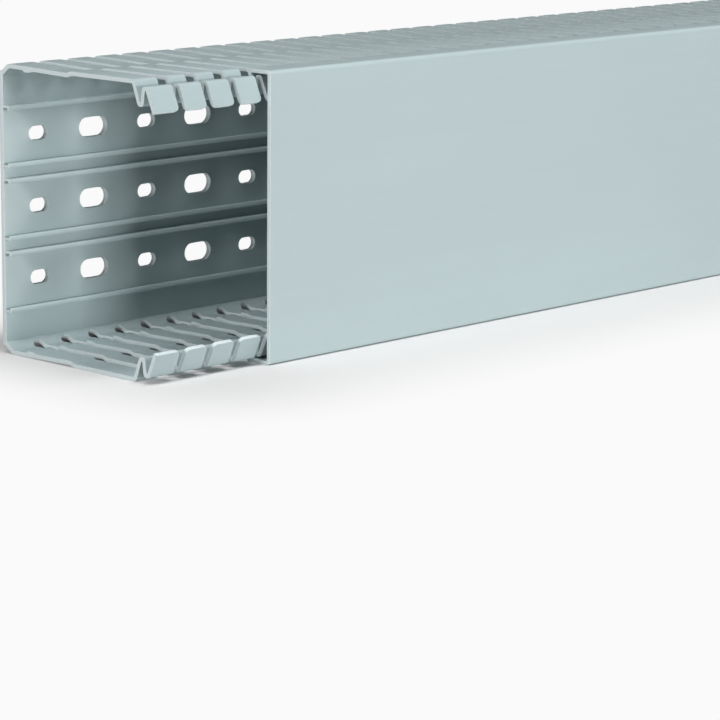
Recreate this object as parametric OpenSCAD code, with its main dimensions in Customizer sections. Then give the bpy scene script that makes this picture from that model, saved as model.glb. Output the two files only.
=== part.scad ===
// Slotted wire duct: a punched trunking body with clip-headed fingers and a clip-on cover.
// X runs along the duct, the mounting base is at +Y, the cover at -Y, Z is the duct's width.
// Profile sizes are in millimetres; u is the distance from the back of the base,
// v is the distance in from the outer side of a slotted wall.

/* [Duct size] */
// Length of the trunking and of its cover
length = 1000; // [300:12.5:2000]
// Overall width, from one slotted wall to the other
duct_w = 100; // [80:1:150]
// Overall depth, from the back of the base to the front of the cover
duct_d = 80; // [60:1:110]

/* [Trunking body] */
// Thickness of the mounting base
base_t = 2; // [1.6:0.1:3]
// Thickness of the finger walls and their folded heads
wall_t = 1.5; // [1.2:0.1:1.6]
// How far the edge of the base is set in from the outer side of the wall
base_inset = 2.8; // [2:0.1:4]
// Where the wall meets the floor line, from the back of the base
knuckle_u = 5; // [4.5:0.1:8]
// Depth of the break-off joggle, from the back of the base
joggle_u = 35; // [25:1:42]
// Sideways step of the joggle
joggle = 0.7; // [0.4:0.1:1.3]
// Height of the bead over the lower break-off line
bead_h = 0.4; // [0.2:0.1:0.6]
// Distance of the lower bead from the back of the base
bead_u = 14; // [10:0.5:20]

/* [Finger heads] */
// Depth of the whole head, from shoulder to cover front
head_d = 12.8; // [12.4:0.1:15]
// How deep the groove behind the peak is folded in
groove_in = 8.8; // [7:0.1:10]
// How far the peak stays in from the outer side
peak_in = 2; // [1.9:0.1:2.6]
// How far in the slanted lip ends
lip_in = 10.9; // [9:0.1:12]
// How much is clipped off the lip corners
lip_clip = 1; // [0.5:0.1:1.8]

/* [Side slots] */
// Spacing of the side slots
slot_pitch = 12.5; // [12:0.5:16]
// Width of a side slot between two fingers
slot_w = 4.6; // [3.6:0.1:6]
// Width of the gap between two finger heads
head_gap = 3; // [2:0.1:4]
// Distance of the first slot from the end of the duct
slot_first = 12.25; // [8:0.25:14]
// How far the round root of a slot stays clear of the base
slot_root = 0.6; // [0.4:0.1:4]

/* [Base holes] */
// Spacing of the base holes along the duct
hole_pitch = 25; // [20:0.5:40]
// Spacing of the hole rows
row_pitch = 25; // [25:0.5:30]
// Distance of the first hole from the end of the duct
hole_first = 15.25; // [10:0.25:20]
// Width of a small oblong hole
small_w = 5; // [4:0.1:6]
// Length of a small oblong hole
small_l = 8.5; // [7:0.1:10]
// Width of a large oblong hole
large_w = 7; // [5.5:0.1:8]
// Length of a large oblong hole
large_l = 13; // [10:0.1:15]

/* [Base ribs] */
// Distance of a hooked rib from the middle of its hole row
rib_off = 10.2; // [9:0.1:11]
// Height of a hooked rib over the base
rib_h = 2.8; // [2:0.1:4]
// Thickness of a hooked rib
rib_t = 0.9; // [0.7:0.1:1.2]
// Length of the small hook on the rib
rib_hook = 1.7; // [1.3:0.1:2.5]

/* [Cover] */
// Thickness of the cover front
cover_t = 1.5; // [1.2:0.1:2]
// Thickness of the cover flanges
flange_t = 1.3; // [1:0.1:1.5]
// Thickness of the slanted hook on each flange
hook_t = 0.9; // [0.8:0.1:1.1]
// How far in the hook reaches
hook_in = 3.2; // [2.9:0.1:3.6]
// Outer radius of the cover corners
cover_r = 1.6; // [1:0.1:2.2]
// How far the cover is slid back from the front end
cover_back = 50; // [0:0.5:150]

/* [Hidden] */
$fn = 48;
// Running clearance between the fingers and the cover
clear = 0.5;
eps = 1;
// Middle line of the folded wall, as [u, v]: each fold has two bends, so that it stays round
half = wall_t/2;
shoulder_u = duct_d - head_d;
lip_end = [duct_d - cover_t - clear - half, lip_in - half*0.4];
peak_u = shoulder_u + (lip_end[0] - shoulder_u)*0.58;
groove_u = shoulder_u + (lip_end[0] - shoulder_u)*0.36;
fold_w = wall_t;
wall_line = [
  [base_t/2 + 0.3, base_inset + 0.9],
  [knuckle_u, half],
  [joggle_u, half + joggle],
  [joggle_u + 2, half],
  [shoulder_u - 0.3, half],
  [shoulder_u + 0.3, half + 0.37],
  [groove_u - fold_w/2, groove_in - half],
  [groove_u + fold_w/2, groove_in - half],
  [peak_u - fold_w/2, peak_in + half],
  [peak_u + fold_w/2, peak_in + half],
  lip_end
];
root_u = base_t + slot_root;
// The cover hook stays clear of the groove's near leg and of the peak's back
leg = wall_line[6] - wall_line[5];
flange_u = wall_line[5][0] + (flange_t - wall_line[5][1])*leg[0]/leg[1]
  + half*norm(leg)/leg[1] + clear;
back = wall_line[8] - wall_line[7];
tip_u = wall_line[8][0] + (hook_in - wall_line[8][1])*back[0]/back[1]
  - half*norm(back)/abs(back[1]) - clear;
// Counts along the duct
slots = floor((length - slot_first - slot_w)/slot_pitch) + 1;
holes = floor((length - hole_first - large_l/2 - 3)/hole_pitch) + 1;
rows = max(1, floor((duct_w - 2*(base_inset + rib_off))/row_pitch) + 1);
row_v = [for (i = [0 : rows - 1]) duct_w/2 + (i - (rows - 1)/2)*row_pitch];
// The origin is under the middle of the whole, cover included
x_end = -(length + cover_back)/2;

// Points of a folded line moved sideways by s, with mitred bends
function unit(a, b) = (b - a)/norm(b - a);
function normal(a, b) = [-unit(a, b)[1], unit(a, b)[0]];
function mitre(n1, n2) = (n1 + n2)/(1 + n1*n2);
function beside(p, s) = [
  for (i = [0 : len(p) - 1])
    p[i] + s*mitre(normal(p[max(i - 1, 0)], p[max(i, 1)]),
                   normal(p[min(i, len(p) - 2)], p[min(i + 1, len(p) - 1)]))
];

// A folded strip of even thickness along a middle line
module fold(p, t) {
  near = beside(p, -t/2);
  far = beside(p, t/2);
  polygon(concat(near, [for (i = [len(p) - 1 : -1 : 0]) far[i]]));
}

// Section of one slotted wall with its head
module wall_section() {
  fold(wall_line, wall_t);
  bead_v = wall_t + joggle*(bead_u - knuckle_u)/(joggle_u - knuckle_u);
  polygon([[bead_u - 1.2, bead_v - 0.3], [bead_u + 1.2, bead_v - 0.3],
           [bead_u + 0.6, bead_v + bead_h], [bead_u - 0.6, bead_v + bead_h]]);
}

// Section of one hooked rib; side is the way its hook points
module rib_section(v, side) {
  translate([base_t/2, v - rib_t/2]) square([base_t/2 + rib_h, rib_t]);
  reach = rib_hook - rib_t/2;
  translate([base_t + rib_h - rib_t, side > 0 ? v : v - reach]) square([rib_t, reach]);
}

module body_section() {
  translate([0, base_inset]) square([base_t, duct_w - 2*base_inset]);
  wall_section();
  translate([0, duct_w]) mirror([0, 1]) wall_section();
  for (v = row_v) {
    rib_section(v - rib_off, 1);
    rib_section(v + rib_off, -1);
  }
}

// Section of one cover flange with its hook and round corner
module flange_section() {
  translate([duct_d - cover_r, cover_r]) circle(r = cover_r);
  translate([flange_u, 0]) square([duct_d - cover_r - flange_u, flange_t]);
  polygon([[flange_u, flange_t/2], [flange_u + 1.6*hook_t, flange_t/2],
           [tip_u, hook_in - hook_t*0.7], [tip_u, hook_in], [tip_u - hook_t*0.7, hook_in],
           [flange_u, flange_t]]);
}

module cover_section() {
  translate([duct_d - cover_t, cover_r]) square([cover_t, duct_w - 2*cover_r]);
  flange_section();
  translate([0, duct_w]) mirror([0, 1]) flange_section();
}

// Stands a [u, v] section up along X
module along(x) {
  translate([x, duct_d/2, 0]) mirror([0, 1, 0]) rotate([90, 0, 90])
    linear_extrude(length) children();
}

// Outline of one side slot, round at its root and narrower between the heads
module slot_outline() {
  translate([0, root_u + slot_w/2]) circle(d = slot_w);
  translate([-slot_w/2, root_u + slot_w/2])
    square([slot_w, groove_u - root_u - slot_w/2]);
  translate([-head_gap/2, groove_u - eps]) square([head_gap, duct_d - groove_u + 2*eps]);
}

// One punched slot, with the lip corners clipped beside its head gap
module side_slot() {
  translate([0, duct_d/2, -eps]) mirror([0, 1, 0])
    linear_extrude(lip_in + 2*eps) slot_outline();
  clip_w = head_gap/2 + lip_clip;
  translate([0, duct_d/2 - peak_u, 0]) rotate([90, 0, 0]) linear_extrude(duct_d)
    polygon([[-head_gap/2, lip_in - lip_clip], [head_gap/2, lip_in - lip_clip],
             [clip_w + eps, lip_in + eps], [-clip_w - eps, lip_in + eps]]);
}

module wall_slots() {
  for (i = [0 : slots - 1])
    translate([x_end + slot_first + i*slot_pitch, 0, 0]) side_slot();
}

// Outline of one oblong hole along the duct
module oblong(l, w) {
  square([l - w, w], center = true);
  for (s = [-1, 1]) translate([s*(l - w)/2, 0]) circle(d = w);
}

module base_holes() {
  for (v = row_v, i = [0 : holes - 1])
    translate([x_end + hole_first + i*hole_pitch, duct_d/2 + eps, v]) rotate([90, 0, 0])
      linear_extrude(base_t + 2*eps)
        if (i % 2 == 0) oblong(small_l, small_w); else oblong(large_l, large_w);
}

module trunking_body() {
  color([0.66, 0.68, 0.69]) difference() {
    along(x_end) body_section();
    wall_slots();
    translate([0, 0, duct_w]) mirror([0, 0, 1]) wall_slots();
    base_holes();
  }
}

module cover() {
  color([0.70, 0.72, 0.73]) along(x_end + cover_back) cover_section();
}

trunking_body();
cover();
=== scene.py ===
"""Looks of the slotted wire duct: a punched grey trunking with clip-headed fingers, and its cover."""
import math

import bmesh
import bpy
from mathutils import Matrix, Vector


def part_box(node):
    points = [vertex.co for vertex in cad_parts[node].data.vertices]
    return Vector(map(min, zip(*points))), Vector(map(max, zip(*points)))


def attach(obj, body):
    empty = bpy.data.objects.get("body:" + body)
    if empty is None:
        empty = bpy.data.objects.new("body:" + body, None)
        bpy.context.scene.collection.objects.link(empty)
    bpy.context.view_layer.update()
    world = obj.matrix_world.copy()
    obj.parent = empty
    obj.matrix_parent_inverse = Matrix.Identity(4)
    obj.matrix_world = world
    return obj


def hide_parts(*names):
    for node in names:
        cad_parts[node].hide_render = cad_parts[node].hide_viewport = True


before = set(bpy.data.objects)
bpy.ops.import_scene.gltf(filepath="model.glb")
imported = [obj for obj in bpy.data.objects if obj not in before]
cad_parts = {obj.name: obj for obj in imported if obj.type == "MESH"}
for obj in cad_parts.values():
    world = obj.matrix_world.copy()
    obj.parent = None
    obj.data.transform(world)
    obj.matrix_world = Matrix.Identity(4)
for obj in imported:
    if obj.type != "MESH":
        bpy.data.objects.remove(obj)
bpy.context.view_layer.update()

MM = 0.001
NEAR = 0.001 * MM

# The duct's own box: X along it, u in from the back of the base, v in from a slotted side.
body_lo, body_hi = (Vector(c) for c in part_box("trunking_body"))
cover_lo, cover_hi = (Vector(c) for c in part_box("cover"))
BACK = body_hi.y
WIDTH = cover_hi.z - cover_lo.z
LENGTH = body_hi.x - body_lo.x
DEPTH = BACK - cover_lo.y

# Slotted wall: its foot in the base, the knuckle at the base's corner and the break-off joggle
BASE_T = 2.0 * MM
BASE_INSET = 2.8 * MM
WALL_T = 1.5 * MM
HALF = WALL_T / 2
FOOT_U = BASE_T / 2 + 0.3 * MM
FOOT_V = BASE_INSET + 0.9 * MM
KNUCKLE_U = 5.0 * MM
KNUCKLE_R = 2.4 * MM
JOGGLE_U = 35 * MM
JOGGLE_RUN = 2 * MM
JOGGLE = 0.7 * MM
JOGGLE_R = 1.0 * MM
# The bead as (u, height): steep towards the base, drawn out towards the head
BEAD_U = 14 * MM
BEAD_H = 0.6 * MM
BEAD = ((BEAD_U - 1.5 * MM, 0), (BEAD_U - 1.1 * MM, BEAD_H), (BEAD_U + 1.0 * MM, BEAD_H),
        (BEAD_U + 4.0 * MM, 0))

# Folded head: shoulder, groove, peak and slanted lip
HEAD_D = 12.8 * MM
SHOULDER_BACK = 0.17 * MM
SHOULDER_R = 1.1 * MM
BEND_R = 0.7 * MM
GROOVE_SHARE = 0.36
GROOVE_IN = 8.8 * MM
PEAK_SHARE = 0.58
PEAK_IN = 2.0 * MM
LIP_IN = 10.9 * MM
LIP_LEAN = 0.4 * HALF
LIP_R = 1.6 * MM
LIP_STATIONS = (1, 0.5, 0.15)
# Running clearance between the heads and the cover
CLEAR = 0.5 * MM
# Where the head's first leg starts, as (u, v) past the shoulder and the wall's middle
LEG_OFF = (0.3 * MM, 0.37 * MM)

# Side slots, with the half round at their root
SLOT_PITCH = 12.5 * MM
SLOT_R = 2.3 * MM
HEAD_GAP = 3.0 * MM
SLOT_FIRST = 12.25 * MM
SLOT_ROOT = 2.6 * MM
ROOT_ANGLES = (0, 22, 45, 67, 90)

# Base holes, small and large in turn, and the burr that the punch raises around them
HOLE_PITCH = 25 * MM
HOLE_FIRST = 15.25 * MM
HOLE_TO_END = 3 * MM
SMALL_HOLE = (8.5 * MM, 5.0 * MM)
LARGE_HOLE = (13.0 * MM, 7.0 * MM)
HOLE_SIDES = 24
BURR_W = 0.35 * MM
BURR_H = 0.16 * MM
ROWS = [WIDTH / 2 + i * HOLE_PITCH for i in (-1, 0, 1)]

# Hooked ribs
RIB_OFF = 10.2 * MM
RIB_H = 2.8 * MM
RIB_T = 0.9 * MM
RIB_HOOK = 1.7 * MM
RIB_EDGE_R = 0.2 * MM

# Cover
COVER_T = 1.5 * MM
FLANGE_T = 1.3 * MM
HOOK_T = 0.9 * MM
HOOK_IN = 3.2 * MM
HOOK_REACH = 1.9 * HOOK_T
HOOK_NOSE = 0.7 * HOOK_T
HOOK_RADII = [c * MM for c in (0.4, 0.25, 0.25, 0.25, 0.4, 0.3)]
COVER_R = 1.6 * MM
COVER_INNER_R = 0.6 * MM
COVER_EDGE_R = 0.12 * MM
FLANGE_STUB = 2 * MM

EDGE_R = 0.14 * MM
# The base ends this much inside the walls, and the ribs inside the base, so no end faces coincide
END_STEP = 0.03 * MM

# Tones of the plastic, as extruded and where it is cut; the cut tone is paler partly for the cut
# finish and partly as a painted highlight on the faces that look along X; CUT is the cut finish's
# material index
CUT = 1
DUCT_TONE = (0.680, 0.743, 0.750)
COVER_TONE = (0.710, 0.773, 0.780)
CUT_AND_HIGHLIGHT_TONE = (0.83, 0.875, 0.88)
DUCT_ROUGH = 0.42
COVER_ROUGH = 0.40
CUT_ROUGH = (0.55, 0.7)
# Small shares by which a finish varies: clouds, draw lines, roughness and torn faces
CLOUD_TONES = (0.99, 1.008)
LINE_TONE = 0.985
ROUGH_SPREAD = (-0.04, 0.05)
TORN_TONE = 0.97
PLASTIC_IOR = 1.53
CUT_IOR = 1.5

# Surface marks: (scale, detail, stretch, roughness) of the noise, and how deep each mark is
DRAW_LINES = (260, 3, (0.012, 1, 1), 0.6)
CLOUDS = (14, 3, (0.5, 1, 1), 0.5)
GRAIN = (5200, 2, (1, 1, 1), 0.5)
TEAR = (1400, 4, (1, 1, 1), 0.65)
FINE_TEAR = (6000, 2, (1, 1, 1), 0.5)
LINE_DEPTH = 0.01 * MM
GRAIN_DEPTH = 0.004 * MM
TEAR_DEPTH = 0.04 * MM
FINE_TEAR_DEPTH = 0.01 * MM

# Floor: its glow to the camera fades out over SHADOW_REACH towards the duct's footprint
FLOOR_HALF = 30
FLOOR_GREY = 0.72
FLOOR_WHITE = 0.957
FLOOR_GLOW = 0.996
SHADOW_REACH = 0.08
WORLD_LEVEL = 0.02

# Softboxes as (name, place, size, power), all turned to the open end
OPEN_END = (body_lo.x, BACK - DEPTH / 2, WIDTH / 2)
SOFTBOXES = (
    ("front_light", (-0.42, -1.6, 0.2), (0.6, 0.3), 13),
    ("end_light", (-2.2, -0.12, 0.48), (0.5, 0.5), 11),
    ("top_light", (-0.6, -0.42, 2.0), (2.4, 0.3), 40),
)

# The camera looks along the duct from its open end, in degrees from +Y and from level.
CAMERA_PLACE = (-1.17015, -0.73945, 0.20655)
CAMERA_HEADING = 46.599
CAMERA_DOWN = 11.706
CAMERA_ROLL = 0.532
CAMERA_LENS = 148.73
SENSOR = 36


# ---------------------------------------------------------------- outlines

def arc(centre, radius, start, end, steps):
    """Points on an arc in the [u, v] plane, angles in degrees."""
    turns = (math.radians(start + (end - start) * i / steps) for i in range(steps + 1))
    return [centre + radius * Vector((math.cos(a), math.sin(a))) for a in turns]


def rounded(line, radii, steps=4):
    """A bent line with each corner replaced by an arc of its own radius."""
    points = [line[0]]
    for before, corner, after, radius in zip(line, line[1:], line[2:], radii):
        a, b = (corner - before).normalized(), (after - corner).normalized()
        turn = a.angle_signed(b)
        setback = radius * math.tan(abs(turn) / 2)
        start = corner - a * setback
        for i in range(steps + 1):
            part = turn * i / steps
            chord = a.copy()
            chord.rotate(Matrix.Rotation(-part / 2, 2))
            points.append(start + chord * (2 * radius * math.sin(abs(part) / 2)))
    points.append(line[-1])
    return points


def with_stations(points, places):
    """Adds points to a line where its first stretch passes the given u values."""
    for u in places:
        for i, (a, b) in enumerate(zip(points, points[1:])):
            if a.x + NEAR < u < b.x - NEAR:
                points.insert(i + 1, a.lerp(b, (u - a.x) / (b.x - a.x)))
                break
    return points


def head_points():
    """Where the head's corners lie: u of the shoulder, groove and peak, and the lip's end."""
    shoulder_u = DEPTH - HEAD_D
    lip = Vector((DEPTH - COVER_T - CLEAR - HALF, LIP_IN - LIP_LEAN))
    run = lip.x - shoulder_u
    groove_u = shoulder_u + GROOVE_SHARE * run
    peak_u = shoulder_u + PEAK_SHARE * run
    return shoulder_u, groove_u, peak_u, lip


def wall_line():
    """Middle line of a slotted wall, from inside the base to the end of the lip."""
    shoulder_u, groove_u, peak_u, lip = head_points()
    line = [Vector(p) for p in (
        (FOOT_U, FOOT_V),
        (KNUCKLE_U, HALF),
        (JOGGLE_U, HALF + JOGGLE),
        (JOGGLE_U + JOGGLE_RUN, HALF),
        (shoulder_u + SHOULDER_BACK, HALF),
        (groove_u - HALF, GROOVE_IN - HALF),
        (groove_u + HALF, GROOVE_IN - HALF),
        (peak_u - HALF, PEAK_IN + HALF),
        (peak_u + HALF, PEAK_IN + HALF),
        lip,
    )]
    radii = [KNUCKLE_R, JOGGLE_R, JOGGLE_R, SHOULDER_R] + [BEND_R] * 4
    points = rounded(line, radii, 2)
    roots = [SLOT_ROOT + SLOT_R * (1 - math.cos(math.radians(a))) for a in ROOT_ANGLES]
    points = with_stations(points, roots + [u for u, _ in BEAD])
    end, before = points[-1], points[-2]
    back = (before - end).normalized()
    clipped = [end + back * (LIP_R * part) for part in LIP_STATIONS]
    return points[:-1] + clipped + [end]


def side_steps(points):
    """How far each point of a line moves sideways for one unit of thickness, with mitred bends."""
    steps = []
    last = len(points) - 1
    for i in range(last + 1):
        a = (points[max(i, 1)] - points[max(i, 1) - 1]).normalized()
        b = (points[min(i, last - 1) + 1] - points[min(i, last - 1)]).normalized()
        n = Vector((-a.y - b.y, a.x + b.x))
        steps.append(n / (1 + a.dot(b)))
    return steps


def bead_height(point):
    """How far the bead stands up at one point of the wall line."""
    for (u, low), (w, high) in zip(BEAD, BEAD[1:]):
        if u - NEAR <= point.x <= w + NEAR:
            return low + (high - low) * (point.x - u) / (w - u)
    return 0


def slot_half(points, i):
    """Half the width of a slot beside one point of the wall line."""
    _, groove_u, _, _ = head_points()
    point = points[i]
    if point.x > groove_u:
        left = (points[-1] - point).length
        clip = LIP_R - math.sqrt(LIP_R ** 2 - (LIP_R - left) ** 2) if left < LIP_R else 0
        return HEAD_GAP / 2 + clip
    inside = SLOT_ROOT + SLOT_R - point.x
    if inside >= SLOT_R - NEAR:
        return 0
    return math.sqrt(SLOT_R ** 2 - inside ** 2) if inside > 0 else SLOT_R


# ---------------------------------------------------------------- mesh helpers

def outward(bm):
    """Turns all faces to point out of the piece."""
    bmesh.ops.recalc_face_normals(bm, faces=bm.faces)


def soften(bm, edges, width=EDGE_R, segments=2):
    """Rounds edges over by a small width."""
    bmesh.ops.bevel(bm, geom=edges, offset=width, offset_type="OFFSET", segments=segments,
                    profile=0.5, affect="EDGES", material=-1, clamp_overlap=True)


def sharp_edges(bm, degrees=40):
    """Edges whose faces turn by more than a number of degrees."""
    limit = math.radians(degrees)
    return [e for e in bm.edges if len(e.link_faces) == 2 and e.calc_face_angle(0) > limit]


def cut_ends(bm, least):
    """Gives the finish of cut plastic, paler partly as a painted highlight, to the faces that look
    along X, by at least this much.
    """
    for face in bm.faces:
        if abs(face.normal.x) > least:
            face.material_index = CUT


def take_in(bm, other):
    """Adds another bmesh to this one."""
    mesh = bpy.data.meshes.new("part")
    other.to_mesh(mesh)
    bm.from_mesh(mesh)
    bpy.data.meshes.remove(mesh)


def piece(bm, name, materials, smooth_degrees=35):
    """Makes an object of a bmesh, with smooth shading except over sharp edges."""
    for face in bm.faces:
        face.smooth = True
    limit = math.radians(smooth_degrees)
    for edge in bm.edges:
        if len(edge.link_faces) == 2:
            edge.smooth = edge.calc_face_angle(0) < limit
    mesh = bpy.data.meshes.new(name)
    bm.to_mesh(mesh)
    bm.free()
    for material in materials:
        mesh.materials.append(material)
    obj = bpy.data.objects.new(name, mesh)
    bpy.context.scene.collection.objects.link(obj)
    return obj


# ---------------------------------------------------------------- trunking

def slot_places():
    """Middles of the side slots along X."""
    count = int((LENGTH - SLOT_FIRST - 2 * SLOT_R) / SLOT_PITCH) + 1
    return [body_lo.x + SLOT_FIRST + i * SLOT_PITCH for i in range(count)]


def slotted_wall():
    """One slotted wall with its folded heads, standing on v = 0."""
    points = wall_line()
    steps = side_steps(points)
    halves = [slot_half(points, i) for i in range(len(points))]
    slots = slot_places()
    bm = bmesh.new()
    station = bm.verts.layers.int.new("station")
    for left, right in zip([None] + slots, slots + [None]):
        chain = []
        for i, p in enumerate(points):
            x = body_lo.x if left is None else left + halves[i]
            vert = bm.verts.new((x, BACK - p.x, p.y))
            vert[station] = i
            chain.append(vert)
        edges = [bm.edges.new(pair) for pair in zip(chain, chain[1:])]
        ribbon = bmesh.ops.extrude_edge_only(bm, edges=edges)["geom"]
        for vert in (g for g in ribbon if isinstance(g, bmesh.types.BMVert)):
            vert.co.x = body_hi.x if right is None else right - halves[vert[station]]
    bmesh.ops.remove_doubles(bm, verts=bm.verts, dist=NEAR)
    outward(bm)
    sheet = list(bm.verts)
    thick = bmesh.ops.extrude_face_region(bm, geom=list(bm.faces))["geom"]
    far = [g for g in thick if isinstance(g, bmesh.types.BMVert)]
    heights = [bead_height(p) for p in points]
    for verts, side in ((sheet, -1), (far, 1)):
        for vert in verts:
            rise = heights[vert[station]] if side > 0 else 0
            step = steps[vert[station]] * (side * HALF + rise)
            vert.co += Vector((0, -step.x, step.y))
    outward(bm)
    # Faces across the sheet take the cut finish, whose paler tone is partly a painted highlight
    inner = set(far)
    for face in bm.faces:
        if 0 < sum(v in inner for v in face.verts) < len(face.verts):
            face.material_index = CUT
    soften(bm, sharp_edges(bm), segments=1)
    return bm


def oblong_ring(verts, length, width, grow=0.0):
    """Moves the points of a unit circle onto an oblong, grown by an even margin."""
    for vert in verts:
        x, z = vert.co.x, vert.co.z
        side = 0 if abs(x) < NEAR else math.copysign((length - width) / 2, x)
        vert.co.x = side + x * (width / 2 + grow)
        vert.co.z = z * (width / 2 + grow)


def hole_cell(bm, ring, x, z, size):
    """A square field of the base around one oblong hole."""
    circle = bmesh.ops.create_circle(bm, segments=HOLE_SIDES, radius=1)["verts"]
    bmesh.ops.rotate(bm, verts=circle, cent=(0, 0, 0), matrix=Matrix.Rotation(math.pi / 2, 3, "X"))
    edges = list(dict.fromkeys(e for v in circle for e in v.link_edges))
    rims = [circle]
    for _ in range(2):
        made = bmesh.ops.extrude_edge_only(bm, edges=edges)["geom"]
        verts = [g for g in made if isinstance(g, bmesh.types.BMVert)]
        edges = [g for g in made if isinstance(g, bmesh.types.BMEdge)
                 and all(v in verts for v in g.verts)]
        rims.append(verts)
    oblong_ring(rims[0], *size)
    oblong_ring(rims[1], *size, BURR_W)
    half = HOLE_PITCH / 2
    for vert in rims[2]:
        reach = max(abs(vert.co.x), abs(vert.co.z))
        vert.co.x *= half / reach
        vert.co.z *= half / reach
    for vert in rims[0]:
        vert[ring] = 1
    for verts in rims:
        bmesh.ops.translate(bm, verts=verts, vec=(x, 0, z))


def base_plate():
    """The mounting base with its three rows of oblong holes and the raised rims of punching."""
    bm = bmesh.new()
    ring = bm.verts.layers.int.new("rim")
    count = int((LENGTH - HOLE_FIRST - LARGE_HOLE[0] / 2 - HOLE_TO_END) / HOLE_PITCH) + 1
    for z in ROWS:
        for i in range(count):
            size = LARGE_HOLE if i % 2 else SMALL_HOLE
            hole_cell(bm, ring, body_lo.x + HOLE_FIRST + i * HOLE_PITCH, z, size)
    bmesh.ops.remove_doubles(bm, verts=bm.verts, dist=NEAR)
    first = body_lo.x + HOLE_FIRST - HOLE_PITCH / 2
    last = body_lo.x + HOLE_FIRST + (count - 0.5) * HOLE_PITCH
    for vert in bm.verts:
        if vert.co.x < first + NEAR:
            vert.co.x = body_lo.x + END_STEP
        elif vert.co.x > last - NEAR:
            vert.co.x = body_hi.x - END_STEP
    for row_edge, end in ((ROWS[0] - HOLE_PITCH / 2, BASE_INSET),
                          (ROWS[-1] + HOLE_PITCH / 2, WIDTH - BASE_INSET)):
        rim = [e for e in bm.edges if e.is_boundary
               and all(abs(v.co.z - row_edge) < NEAR for v in e.verts)]
        made = bmesh.ops.extrude_edge_only(bm, edges=rim)["geom"]
        for vert in (g for g in made if isinstance(g, bmesh.types.BMVert)):
            vert.co.z = end
            vert[ring] = 0
    thick = bmesh.ops.extrude_face_region(bm, geom=list(bm.faces))["geom"]
    inner = {g for g in thick if isinstance(g, bmesh.types.BMVert)}
    for vert in bm.verts:
        vert.co.y = BACK
        if vert in inner:
            vert.co.y -= BASE_T + (BURR_H if vert[ring] else 0)
    outward(bm)
    border = [e for e in sharp_edges(bm) if not any(v[ring] for v in e.verts)]
    soften(bm, border)
    cut_ends(bm, 0.9)
    # Ends and hole walls take the cut finish, whose paler tone is partly a painted highlight
    for face in bm.faces:
        if all(v[ring] for v in face.verts):
            face.material_index = CUT
    return bm


def hooked_rib(z, side):
    """One hooked rib along the base; side is the way its hook points."""
    bm = bmesh.new()
    tip = BASE_T + RIB_H
    hook = side * (RIB_HOOK - RIB_T / 2)
    root = side * RIB_T / 2
    outline = ((BASE_T / 2, -root), (tip, -root), (tip, hook), (tip - RIB_T, hook),
               (tip - RIB_T, root), (BASE_T / 2, root))
    start = body_lo.x + 2 * END_STEP
    section = bm.faces.new([bm.verts.new((start, BACK - u, z + v)) for u, v in outline])
    run = bmesh.ops.extrude_face_region(bm, geom=[section])["geom"]
    bmesh.ops.translate(bm, verts=[g for g in run if isinstance(g, bmesh.types.BMVert)],
                        vec=(LENGTH - 4 * END_STEP, 0, 0))
    outward(bm)
    soften(bm, sharp_edges(bm), RIB_EDGE_R)
    cut_ends(bm, 0.6)
    return bm


def trunking():
    """The base with its ribs, one slotted wall, and the same wall mirrored to the other side."""
    bm = base_plate()
    for z in ROWS:
        take_in(bm, hooked_rib(z - RIB_OFF, 1))
        take_in(bm, hooked_rib(z + RIB_OFF, -1))
    wall = slotted_wall()
    take_in(bm, wall)
    for vert in wall.verts:
        vert.co.z = WIDTH - vert.co.z
    bmesh.ops.reverse_faces(wall, faces=wall.faces)
    take_in(bm, wall)
    wall.free()
    return piece(bm, "trunking_shell", [duct_plastic(), punched_and_highlit_plastic()])


# ---------------------------------------------------------------- cover

def cover_outline():
    """Closed section of the cover, lower half then upper half.

    The flange stops short of the head's rising leg, and the hook short of the leg that falls to
    the peak, by the running clearance.
    """
    shoulder_u, groove_u, peak_u, _ = head_points()
    leg_start = Vector((shoulder_u + LEG_OFF[0], HALF + LEG_OFF[1]))
    leg = Vector((groove_u - HALF, GROOVE_IN - HALF)) - leg_start
    flange_u = (leg_start.x + (FLANGE_T - leg_start.y) * leg.x / leg.y
                + HALF * leg.length / leg.y + CLEAR)
    back_end = Vector((peak_u - HALF, PEAK_IN + HALF))
    back = back_end - Vector((groove_u + HALF, GROOVE_IN - HALF))
    tip_u = (back_end.x + (HOOK_IN - back_end.y) * back.x / back.y
             + HALF * back.length / back.y - CLEAR)
    corner = Vector((DEPTH - COVER_T, FLANGE_T))
    line = [Vector(p) for p in (
        (corner.x - FLANGE_STUB, FLANGE_T),
        (flange_u + HOOK_REACH, FLANGE_T),
        (tip_u, HOOK_IN - HOOK_NOSE),
        (tip_u, HOOK_IN),
        (tip_u - HOOK_NOSE, HOOK_IN),
        (flange_u, FLANGE_T),
        (flange_u, 0),
        (flange_u + FLANGE_STUB, 0),
    )]
    inner = corner + Vector((-COVER_INNER_R, COVER_INNER_R))
    half = arc(inner, COVER_INNER_R, 0, -90, 4)
    half += rounded(line, HOOK_RADII, 3)
    half += arc(Vector((DEPTH - COVER_R, COVER_R)), COVER_R, 270, 360, 8)
    upper = [Vector((p.x, WIDTH - p.y)) for p in reversed(half)]
    return half + upper


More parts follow.
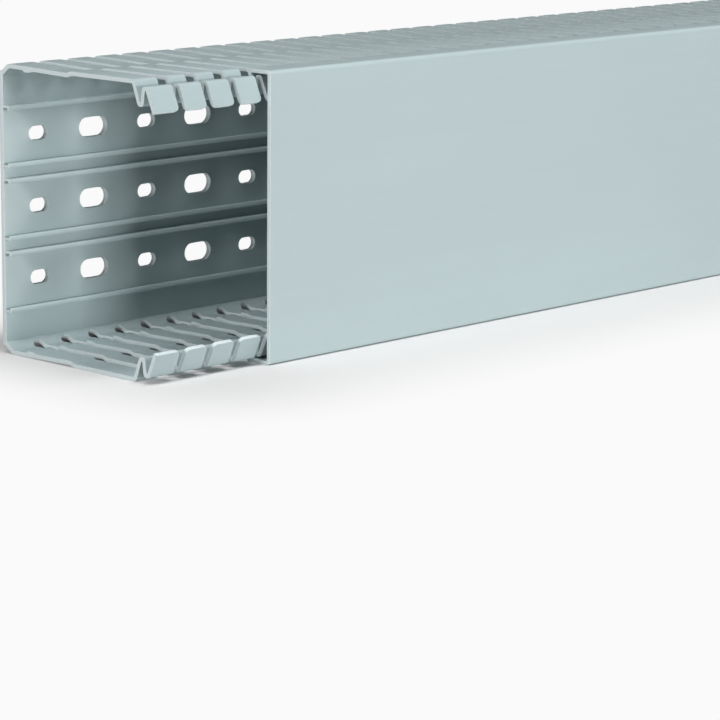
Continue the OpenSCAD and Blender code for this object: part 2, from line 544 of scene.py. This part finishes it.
def cover_shell():
    """The cover, drawn out along X from its section, with softened ends."""
    bm = bmesh.new()
    verts = [bm.verts.new((cover_lo.x, BACK - p.x, p.y)) for p in cover_outline()]
    section = bm.faces.new(verts)
    run = bmesh.ops.extrude_face_region(bm, geom=[section])["geom"]
    bmesh.ops.translate(bm, verts=[g for g in run if isinstance(g, bmesh.types.BMVert)],
                        vec=(cover_hi.x - cover_lo.x, 0, 0))
    outward(bm)
    ends = [e for e in sharp_edges(bm, 60)
            if abs(e.verts[0].co.x - e.verts[1].co.x) < NEAR]
    soften(bm, ends, COVER_EDGE_R, 1)
    cut_ends(bm, 0.6)
    return piece(bm, "cover_shell", [cover_plastic(), punched_and_highlit_plastic()], 30)


# ---------------------------------------------------------------- materials

def srgb(r, g, b):
    """A display colour as the linear colour that a shader takes."""
    def linear(c):
        return c / 12.92 if c <= 0.04045 else ((c + 0.055) / 1.055) ** 2.4
    return (linear(r), linear(g), linear(b), 1.0)


def new_material(name):
    """An empty material with one surface shader, and what is needed to add nodes to it."""
    material = bpy.data.materials.new(name)
    material.use_nodes = True
    nodes = material.node_tree.nodes
    nodes.clear()
    out = nodes.new("ShaderNodeOutputMaterial")
    shader = nodes.new("ShaderNodeBsdfPrincipled")
    material.node_tree.links.new(shader.outputs["BSDF"], out.inputs["Surface"])
    return material, nodes, material.node_tree.links, shader


def noise_at(nodes, links, marks):
    """Noise on the piece's own coordinates, from one row of marks."""
    scale, detail, stretch, roughness = marks
    coords = nodes.new("ShaderNodeTexCoord")
    mapping = nodes.new("ShaderNodeMapping")
    mapping.inputs["Scale"].default_value = stretch
    noise = nodes.new("ShaderNodeTexNoise")
    noise.inputs["Scale"].default_value = scale
    noise.inputs["Detail"].default_value = detail
    noise.inputs["Roughness"].default_value = roughness
    links.new(coords.outputs["Object"], mapping.inputs["Vector"])
    links.new(mapping.outputs["Vector"], noise.inputs["Vector"])
    return noise.outputs["Fac"]


def ramp_between(nodes, links, factor, low, high):
    """Blends two colours over the middle of a noise."""
    ramp = nodes.new("ShaderNodeValToRGB")
    ramp.color_ramp.elements[0].position = 0.35
    ramp.color_ramp.elements[1].position = 0.65
    ramp.color_ramp.elements[0].color = low
    ramp.color_ramp.elements[1].color = high
    links.new(factor, ramp.inputs["Fac"])
    return ramp.outputs["Color"]


def range_of(nodes, links, factor, low, high):
    """Spreads the middle of a noise over a range of values."""
    node = nodes.new("ShaderNodeMapRange")
    node.inputs["From Min"].default_value = 0.3
    node.inputs["From Max"].default_value = 0.7
    node.inputs["To Min"].default_value = low
    node.inputs["To Max"].default_value = high
    links.new(factor, node.inputs["Value"])
    return node.outputs["Result"]


def bumps(nodes, links, layers, shader):
    """Stacks bump layers of (height factor, distance)."""
    last = None
    for height, distance in layers:
        bump = nodes.new("ShaderNodeBump")
        bump.inputs["Distance"].default_value = distance
        bump.inputs["Strength"].default_value = 1
        links.new(height, bump.inputs["Height"])
        if last:
            links.new(last, bump.inputs["Normal"])
        last = bump.outputs["Normal"]
    links.new(last, shader.inputs["Normal"])


def extruded_plastic(name, tone, rough):
    """Grey rigid PVC as it leaves the die: satin, with faint draw lines along X."""
    material, nodes, links, shader = new_material(name)
    lines = noise_at(nodes, links, DRAW_LINES)
    clouds = noise_at(nodes, links, CLOUDS)
    grain = noise_at(nodes, links, GRAIN)
    dull, light = (srgb(*(c * share for c in tone)) for share in CLOUD_TONES)
    base = ramp_between(nodes, links, clouds, dull, light)
    streak = ramp_between(nodes, links, lines, (LINE_TONE, LINE_TONE, LINE_TONE, 1), (1, 1, 1, 1))
    mix = nodes.new("ShaderNodeMix")
    mix.data_type = "RGBA"
    mix.blend_type = "MULTIPLY"
    mix.inputs["Factor"].default_value = 1
    links.new(base, mix.inputs["A"])
    links.new(streak, mix.inputs["B"])
    links.new(mix.outputs["Result"], shader.inputs["Base Color"])
    roughness = range_of(nodes, links, lines, *(rough + change for change in ROUGH_SPREAD))
    links.new(roughness, shader.inputs["Roughness"])
    shader.inputs["IOR"].default_value = PLASTIC_IOR
    bumps(nodes, links, ((lines, LINE_DEPTH), (grain, GRAIN_DEPTH)), shader)
    return material


def duct_plastic():
    return extruded_plastic("duct_grey_plastic", DUCT_TONE, DUCT_ROUGH)


def cover_plastic():
    return extruded_plastic("cover_grey_plastic", COVER_TONE, COVER_ROUGH)


def punched_and_highlit_plastic():
    """Cut and punched faces: dry and slightly torn, and paler partly for the cut finish and partly as
    a painted highlight.
    """
    material, nodes, links, shader = new_material("punched_edge_and_highlight_plastic")
    tear = noise_at(nodes, links, TEAR)
    fine = noise_at(nodes, links, FINE_TEAR)
    # The paler cut tone, partly a painted highlight, with torn patches a little darker
    low = srgb(*(c * TORN_TONE for c in CUT_AND_HIGHLIGHT_TONE))
    links.new(ramp_between(nodes, links, tear, low, srgb(*CUT_AND_HIGHLIGHT_TONE)), shader.inputs["Base Color"])
    links.new(range_of(nodes, links, tear, *CUT_ROUGH), shader.inputs["Roughness"])
    shader.inputs["IOR"].default_value = CUT_IOR
    bumps(nodes, links, ((tear, TEAR_DEPTH), (fine, FINE_TEAR_DEPTH)), shader)
    return material


# ---------------------------------------------------------------- floor, light and camera

def floor_and_backdrop():
    """A wide pale floor, and a world that is white to the camera and nearly dark to the duct."""
    bm = bmesh.new()
    bmesh.ops.create_grid(bm, x_segments=1, y_segments=1, size=FLOOR_HALF)
    floor = piece(bm, "floor", [floor_paint()])
    world = bpy.data.worlds.new("studio")
    bpy.context.scene.world = world
    world.use_nodes = True
    nodes, links = world.node_tree.nodes, world.node_tree.links
    nodes.clear()
    out = nodes.new("ShaderNodeOutputWorld")
    soft = nodes.new("ShaderNodeBackground")
    soft.inputs["Color"].default_value = (1, 1, 1, 1)
    soft.inputs["Strength"].default_value = WORLD_LEVEL
    white = nodes.new("ShaderNodeBackground")
    white.inputs["Color"].default_value = (1, 1, 1, 1)
    path = nodes.new("ShaderNodeLightPath")
    mix = nodes.new("ShaderNodeMixShader")
    links.new(path.outputs["Is Camera Ray"], mix.inputs["Fac"])
    links.new(soft.outputs["Background"], mix.inputs[1])
    links.new(white.outputs["Background"], mix.inputs[2])
    links.new(mix.outputs["Shader"], out.inputs["Surface"])


def maths(nodes, links, operation, first, second=0.0):
    """One Math node; each of its two inputs is a socket or a plain float."""
    node = nodes.new("ShaderNodeMath")
    node.operation = operation
    for socket, value in zip(node.inputs, (first, second)):
        if isinstance(value, float):
            socket.default_value = value
        else:
            links.new(value, socket)
    return node.outputs["Value"]


def away_from_duct(nodes, links):
    """Distance of a place on the floor from the duct's footprint."""
    coords = nodes.new("ShaderNodeTexCoord")
    parts = nodes.new("ShaderNodeSeparateXYZ")
    links.new(coords.outputs["Object"], parts.inputs["Vector"])
    past = []
    for axis, half in (("X", LENGTH / 2), ("Y", DEPTH / 2)):
        place = maths(nodes, links, "ABSOLUTE", parts.outputs[axis])
        beyond = maths(nodes, links, "SUBTRACT", place, half)
        outside = maths(nodes, links, "MAXIMUM", beyond)
        past.append(maths(nodes, links, "MULTIPLY", outside, outside))
    square = maths(nodes, links, "ADD", *past)
    return maths(nodes, links, "SQRT", square)


def fading_glow(nodes, links, distance):
    """How much of the floor's look is its own glow: none at the duct, nearly all further out."""
    fade = nodes.new("ShaderNodeMapRange")
    fade.interpolation_type = "SMOOTHSTEP"
    fade.inputs["From Max"].default_value = SHADOW_REACH
    fade.inputs["To Max"].default_value = FLOOR_GLOW
    links.new(distance, fade.inputs["Value"])
    return fade.outputs["Result"]


def floor_paint():
    """Pale floor: self-lit to the camera away from the duct, plain paint under and beside it."""
    material = bpy.data.materials.new("floor_white")
    material.use_nodes = True
    nodes, links = material.node_tree.nodes, material.node_tree.links
    nodes.clear()
    out = nodes.new("ShaderNodeOutputMaterial")
    paint = nodes.new("ShaderNodeBsdfDiffuse")
    paint.inputs["Color"].default_value = (FLOOR_GREY, FLOOR_GREY, FLOOR_GREY, 1)
    glow = nodes.new("ShaderNodeEmission")
    glow.inputs["Strength"].default_value = FLOOR_WHITE
    path = nodes.new("ShaderNodeLightPath")
    mix = nodes.new("ShaderNodeMixShader")
    far = fading_glow(nodes, links, away_from_duct(nodes, links))
    links.new(maths(nodes, links, "MULTIPLY", path.outputs["Is Camera Ray"], far),
              mix.inputs["Fac"])
    links.new(paint.outputs["BSDF"], mix.inputs[1])
    links.new(glow.outputs["Emission"], mix.inputs[2])
    links.new(mix.outputs["Shader"], out.inputs["Surface"])
    return material


def softbox(name, place, size, power):
    """A rectangular lamp that faces the duct's open end."""
    light = bpy.data.lights.new(name, "AREA")
    light.shape = "RECTANGLE"
    light.size, light.size_y = size
    light.energy = power
    lamp = bpy.data.objects.new(name, light)
    lamp.location = place
    lamp.rotation_euler = (Vector(OPEN_END) - Vector(place)).to_track_quat("-Z", "Y").to_euler()
    bpy.context.scene.collection.objects.link(lamp)


def camera():
    """The one camera, aimed by heading, downward tilt and roll."""
    data = bpy.data.cameras.new("camera")
    data.sensor_width = SENSOR
    data.lens = CAMERA_LENS
    data.clip_start, data.clip_end = 0.01, 50
    obj = bpy.data.objects.new("camera", data)
    obj.matrix_world = (Matrix.Translation(CAMERA_PLACE)
                        @ Matrix.Rotation(-math.radians(CAMERA_HEADING), 4, "Z")
                        @ Matrix.Rotation(math.radians(90 - CAMERA_DOWN), 4, "X")
                        @ Matrix.Rotation(math.radians(CAMERA_ROLL), 4, "Z"))
    bpy.context.scene.collection.objects.link(obj)
    bpy.context.scene.camera = obj


# ---------------------------------------------------------------- the whole

body_piece = trunking()
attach(body_piece, "trunking")
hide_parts("trunking_body")

cover_piece = cover_shell()
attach(cover_piece, "cover")
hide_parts("cover")

floor_and_backdrop()
for softbox_row in SOFTBOXES:
    softbox(*softbox_row)
camera()
bpy.context.scene.view_settings.view_transform = "Standard"
